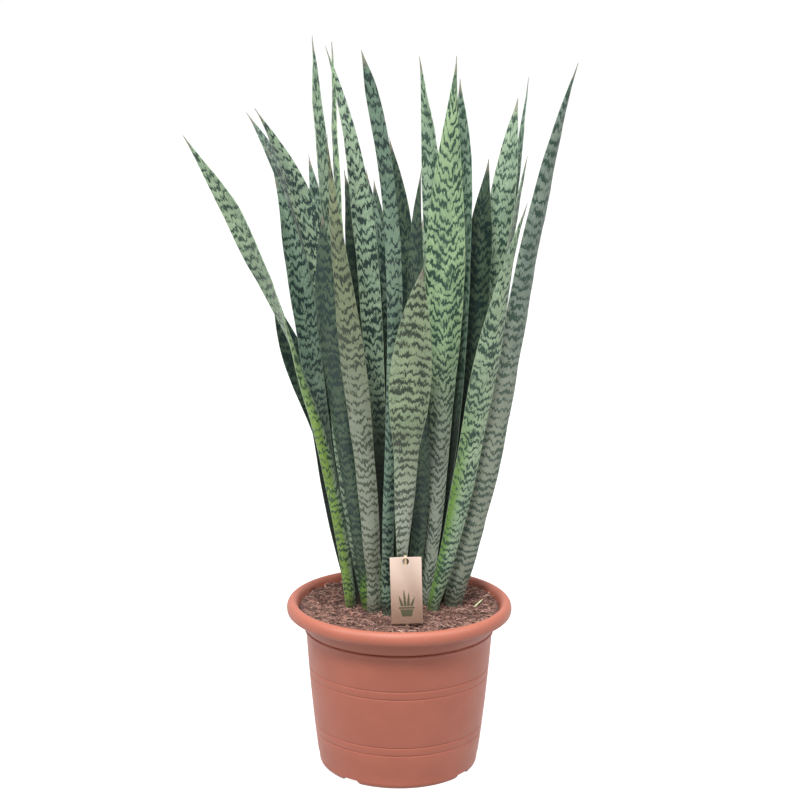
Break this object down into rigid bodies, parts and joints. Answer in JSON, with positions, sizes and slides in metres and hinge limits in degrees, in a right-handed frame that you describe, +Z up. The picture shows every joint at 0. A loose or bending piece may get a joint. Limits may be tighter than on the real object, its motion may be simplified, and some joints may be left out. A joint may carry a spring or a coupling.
{
  "type": "potted snake plant",
  "caption": "Snake plant with tall banded sword-shaped leaves fanning out of a round terracotta-coloured plastic nursery pot, with a blank kraft label on a stick.",
  "frame": {"origin": "on the pot's vertical axis, in the plane that the pot stands on", "axes": "+Z up, -Y towards the side with the label (the front), +X to the right when seen from the front"},
  "size_m": [0.443, 0.2893, 0.863],
  "materials": {
    "terracotta_plastic": "matte moulded plastic, terracotta colour",
    "coir_soil": "loose coconut-fibre potting soil",
    "kraft_card": "uncoated kraft card, blank",
    "birch_stick": "bare wooden skewer",
    "leaf_light": "smooth, slightly waxy leaf, light sage green with dark green zigzag bands",
    "leaf_dark": "smooth, slightly waxy leaf, dark blue green with lighter zigzag bands"
  },
  "bodies": {
    "root": {"pot": "terracotta_plastic", "soil": "coir_soil", "label_card": "kraft_card", "label_stick": "birch_stick", "leaf_front_left": "leaf_light", "leaf_front_slim": "leaf_light", "leaf_front_short": "leaf_light", "leaf_front_tall": "leaf_light", "leaf_front_right": "leaf_light", "leaf_right_outer": "leaf_light", "leaf_left_outer": "leaf_light", "leaf_left_low": "leaf_light", "leaf_left_broad": "leaf_light", "leaf_left_awn": "leaf_dark", "leaf_left_edge": "leaf_light", "leaf_left_dark": "leaf_dark", "leaf_left_back": "leaf_dark", "leaf_left_small": "leaf_dark", "leaf_tallest": "leaf_light", "leaf_twin_broad": "leaf_light", "leaf_twin_slim": "leaf_light", "leaf_middle_dark": "leaf_dark", "leaf_middle_blue": "leaf_dark", "leaf_middle_low": "leaf_dark", "leaf_middle_awn": "leaf_dark", "leaf_centre_dark": "leaf_dark", "leaf_centre_neck": "leaf_light", "leaf_centre_back": "leaf_light", "leaf_right_low": "leaf_dark", "leaf_right_broad": "leaf_dark", "leaf_right_awn": "leaf_dark", "leaf_right_edge": "leaf_light", "leaf_back_left": "leaf_dark", "leaf_back_inner": "leaf_dark", "leaf_back_middle": "leaf_dark", "leaf_back_right": "leaf_dark", "leaf_back_outer": "leaf_dark"}
  },
  "joints": []
}
